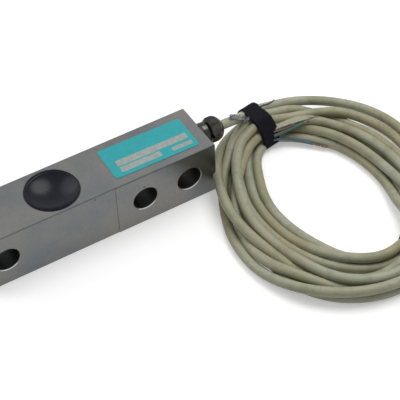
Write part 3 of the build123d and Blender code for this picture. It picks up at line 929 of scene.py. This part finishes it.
# Under the label and in the floor are round pockets with a strain gauge glued to each side of a thin web.
# Small boards join the gauge foils and trim resistors to the cable's wires, all under the potting.
def made_of(name, light, dark, mottle_size, roughness, bump=0.1):
    """A plain finish between two shades, with mottles of this size in millimetres."""
    made, tree, output = new_material(name)
    where = add_node(tree, "ShaderNodeTexCoord")
    mottle = add_node(
        tree,
        "ShaderNodeTexNoise",
        {"Vector": where.outputs["Object"], "Scale": 1 / (mottle_size * mm), "Detail": 3.0, "Roughness": 0.6},
    )
    mix = add_node(
        tree, "ShaderNodeMapRange", {"Value": mottle.outputs["Fac"], "From Min": 0.35, "From Max": 0.68}
    )
    tone = add_node(
        tree, "ShaderNodeMix", {"Factor": mix.outputs[0], 6: linear(light), 7: linear(dark)}, data_type="RGBA"
    )
    gloss = add_node(
        tree,
        "ShaderNodeMapRange",
        {"Value": mottle.outputs["Fac"], "To Min": roughness - 0.08, "To Max": roughness + 0.08},
    )
    skin = add_node(
        tree, "ShaderNodeBump", {"Height": mottle.outputs["Fac"], "Strength": bump, "Distance": 0.05 * mm}
    )
    face = add_node(
        tree,
        "ShaderNodeBsdfPrincipled",
        {"Base Color": tone.outputs[2], "Roughness": gloss.outputs[0], "Normal": skin.outputs[0]},
    )
    tree.links.new(face.outputs[0], output.inputs["Surface"])
    return made


film = made_of("polyimide film with etched foil", "c08a3c", "8a5a22", 1.11, 0.35)
coat(film, "gauge_upper", "gauge_lower")
laminate = made_of("glass laminate with tinned pads", "b9ad7a", "98905f", 0.83, 0.5)
coat(laminate, "terminals_upper", "terminals_lower")
coat(made_of("lacquered circuit board", "2c6a3a", "1d4f2a", 1.25, 0.3), "trim_board")
coat(made_of("ceramic chip resistor", "2a2a2c", "17171a", 0.67, 0.55), "trim_resistors")
coat(made_of("enamelled copper wire", "c79a3a", "a4772a", 0.67, 0.3), "link_wires")
for name, light, dark in (
    ("red", "9a3a2c", "7d2c22"),
    ("white", "c4c4ba", "a8a89c"),
    ("green", "4f8f74", "3a7560"),
    ("blue", "2d4f8a", "223c6c"),
):
    coat(made_of(f"{name} wire insulation", light, dark, 1.11, 0.4), f"lead_wire_{name}")


# Each pocket is filled with a soft black silicone compound, poured and left to set. It wets the wall, so
# its surface dishes down from the rim. It has set to a soft gloss, with a few specks of dust.
potting, tree, output = new_material("poured black silicone potting")
where = add_node(tree, "ShaderNodeTexCoord")
swirl = add_node(
    tree,
    "ShaderNodeTexNoise",
    {"Vector": where.outputs["Object"], "Scale": 1 / (8.33 * mm), "Detail": 2.0, "Roughness": 0.5},
)
dust = add_node(
    tree,
    "ShaderNodeTexNoise",
    {"Vector": where.outputs["Object"], "Scale": 1 / (0.91 * mm), "Detail": 2.0, "Roughness": 0.8},
)
dusty = add_node(
    tree,
    "ShaderNodeMapRange",
    {"Value": dust.outputs["Fac"], "From Min": 0.64, "From Max": 0.85, "To Max": 0.2},
)
tone = add_node(
    tree,
    "ShaderNodeMix",
    {"Factor": dusty.outputs[0], 6: linear("070916"), 7: linear("12141f")},
    data_type="RGBA",
)
gloss = add_node(
    tree,
    "ShaderNodeMapRange",
    {"Value": dust.outputs["Fac"], "From Min": 0.3, "From Max": 0.9, "To Min": 0.23, "To Max": 0.33},
)
ripple = add_node(
    tree, "ShaderNodeBump", {"Height": swirl.outputs["Fac"], "Strength": 0.12, "Distance": 0.6 * mm}
)
face = add_node(
    tree,
    "ShaderNodeBsdfPrincipled",
    {
        "Base Color": tone.outputs[2],
        "Roughness": gloss.outputs[0],
        "Normal": ripple.outputs[0],
        "IOR": 1.43,
        "Specular IOR Level": 0.22,
    },
)
tree.links.new(face.outputs[0], output.inputs["Surface"])
coat(potting, "potting_lower")

# The upper fill is made again with its dish as one curve. It stands on the web, as its solid does.
pocket_radius, rim_height, bowl_depth, bowl_power, web_height = 14.0, 31.4, 4.8, 0.8, 19.4
bowl_steps, round_steps = 20, 72
upper_fill = solids["potting_upper"]
pocket_middle = upper_fill.matrix_world @ (sum(map(Vector, upper_fill.bound_box), Vector()) / 8)
rings_at = []
for step in range(1, bowl_steps + 1):
    t = step / bowl_steps
    rings_at.append((pocket_radius * t, rim_height - bowl_depth * (1 - t**2) ** bowl_power))
rings_at.append((pocket_radius, web_height))
fill = bmesh.new()
rings = []
for radius, height in rings_at:
    ring = []
    for step in range(round_steps):
        angle = 2 * math.pi * step / round_steps
        x, y = radius * mm * math.cos(angle), radius * mm * math.sin(angle)
        ring.append(fill.verts.new((pocket_middle.x + x, pocket_middle.y + y, height * mm)))
    rings.append(ring)
for inner, outer in zip(rings, rings[1:]):
    for step in range(round_steps):
        fill.faces.new((inner[step - 1], outer[step - 1], outer[step], inner[step]))
lowest = fill.verts.new((pocket_middle.x, pocket_middle.y, (rim_height - bowl_depth) * mm))
for step in range(round_steps):
    fill.faces.new((lowest, rings[0][step - 1], rings[0][step]))
fill.faces.new(list(reversed(rings[-1])))
bmesh.ops.recalc_face_normals(fill, faces=fill.faces)
for face in fill.faces:
    in_bowl = len(face.verts) <= 4 and face.normal.z > 0.2
    face.smooth = in_bowl
fill_mesh = bpy.data.meshes.new("potting_fill")
fill.to_mesh(fill_mesh)
fill.free()
potting_fill = piece("potting_fill", fill_mesh, potting)
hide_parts("potting_upper")
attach(potting_fill, "root")


# The label is a thin polyester foil, printed turquoise and stuck over the beam between the pocket and the
# gland. Its text fields are plain bars here: they carry no name, number or sign.
label_top = 32.0
foil, tree, output = new_material("satin printed polyester foil")
where = add_node(tree, "ShaderNodeTexCoord")
mottle = add_node(
    tree,
    "ShaderNodeTexNoise",
    {"Vector": where.outputs["Object"], "Scale": 1 / (4.55 * mm), "Detail": 3.0, "Roughness": 0.6},
)
fade = add_node(
    tree, "ShaderNodeMapRange", {"Value": mottle.outputs["Fac"], "From Min": 0.3, "From Max": 0.7}
)
tone = add_node(
    tree,
    "ShaderNodeMix",
    {"Factor": fade.outputs[0], 6: linear("009aa0"), 7: linear("068f94")},
    data_type="RGBA",
)
gloss = add_node(tree, "ShaderNodeMapRange", {"Value": mottle.outputs["Fac"], "To Min": 0.32, "To Max": 0.46})
wave = add_node(
    tree, "ShaderNodeBump", {"Height": mottle.outputs["Fac"], "Strength": 0.15, "Distance": 0.1 * mm}
)
face = add_node(
    tree,
    "ShaderNodeBsdfPrincipled",
    {
        "Base Color": tone.outputs[2],
        "Roughness": gloss.outputs[0],
        "Normal": wave.outputs[0],
        "IOR": 1.57,
        "Specular IOR Level": 0.4,
    },
)
tree.links.new(face.outputs[0], output.inputs["Surface"])
coat(foil, "label")

# Ink printed over the foil: the same smooth satin, pale grey-green, a little worn.
ink = made_of("pale screen-printed ink", "98a09c", "858c88", 1.43, 0.42, bump=0.05)

# Each field's left, right, lower and upper edge on the beam's top, before the label's one degree of turn
field_edges = ((16.4, 56.2, -3.9, 0.3), (16.4, 39.0, -8.4, -4.7), (45.0, 56.3, -8.5, -5.8))
label_middle, label_slope, field_corner, corner_steps, ink_height = 35.2, 0.0175, 0.5, 3, 0.02
fields = bmesh.new()
for left, right, low, high in field_edges:
    ring = []
    for turn, (x, y) in enumerate(((right, high), (left, high), (left, low), (right, low))):
        cx = x - field_corner if x == right else x + field_corner
        cy = y - field_corner if y == high else y + field_corner
        for step in range(corner_steps + 1):
            angle = math.pi / 2 * (turn + step / corner_steps)
            x, y = cx + field_corner * math.cos(angle), cy + field_corner * math.sin(angle)
            spot = Vector((x, y - label_slope * (x - label_middle), label_top + ink_height))
            ring.append(fields.verts.new(spot * mm))
    fields.faces.new(ring)
fields_mesh = bpy.data.meshes.new("label_fields")
fields.to_mesh(fields_mesh)
fields.free()
label_fields = piece("label_fields", fields_mesh, ink)
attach(label_fields, "root")


# The gland screws into the beam's end: a seal, a body, a rubber bush that grips the cable and a cap nut.
# The body and nut are turned and milled from brass bar and nickel plated. Plating over tool marks gives dark
# satin metal. The marks are about 0.1 mm apart, too fine to show, and are drawn 0.7 mm apart.
nickel, tree, output = new_material("satin nickel-plated brass")
where = add_node(tree, "ShaderNodeTexCoord")
gap, streak = 0.714 * mm, 6.25 * mm
turned = add_node(
    tree, "ShaderNodeMapping", {"Vector": where.outputs["Object"], "Scale": (1 / gap, 1 / streak, 1 / streak)}
)
rings = add_node(
    tree, "ShaderNodeTexNoise", {"Vector": turned.outputs[0], "Scale": 1.0, "Detail": 3.0, "Roughness": 0.6}
)
haze = add_node(
    tree,
    "ShaderNodeTexNoise",
    {"Vector": where.outputs["Object"], "Scale": 1 / (3.12 * mm), "Detail": 3.0, "Roughness": 0.6},
)
aged = add_node(tree, "ShaderNodeMapRange", {"Value": haze.outputs["Fac"], "From Min": 0.35, "From Max": 0.7})
tone = add_node(
    tree,
    "ShaderNodeMix",
    {"Factor": aged.outputs[0], 6: linear("484742"), 7: linear("25241f")},
    data_type="RGBA",
)
gloss = add_node(tree, "ShaderNodeMapRange", {"Value": haze.outputs["Fac"], "To Min": 0.16, "To Max": 0.3})
tooled = add_node(
    tree, "ShaderNodeBump", {"Height": rings.outputs["Fac"], "Strength": 0.15, "Distance": 0.06 * mm}
)
face = add_node(
    tree,
    "ShaderNodeBsdfPrincipled",
    {
        "Base Color": tone.outputs[2],
        "Metallic": 1.0,
        "Roughness": gloss.outputs[0],
        "Normal": tooled.outputs[0],
    },
)
tree.links.new(face.outputs[0], output.inputs["Surface"])
coat(nickel, "gland_body", "gland_clamp", "gland_nut")
coat(made_of("moulded black rubber", "222224", "161618", 1.11, 0.6), "gland_seal", "gland_bush")
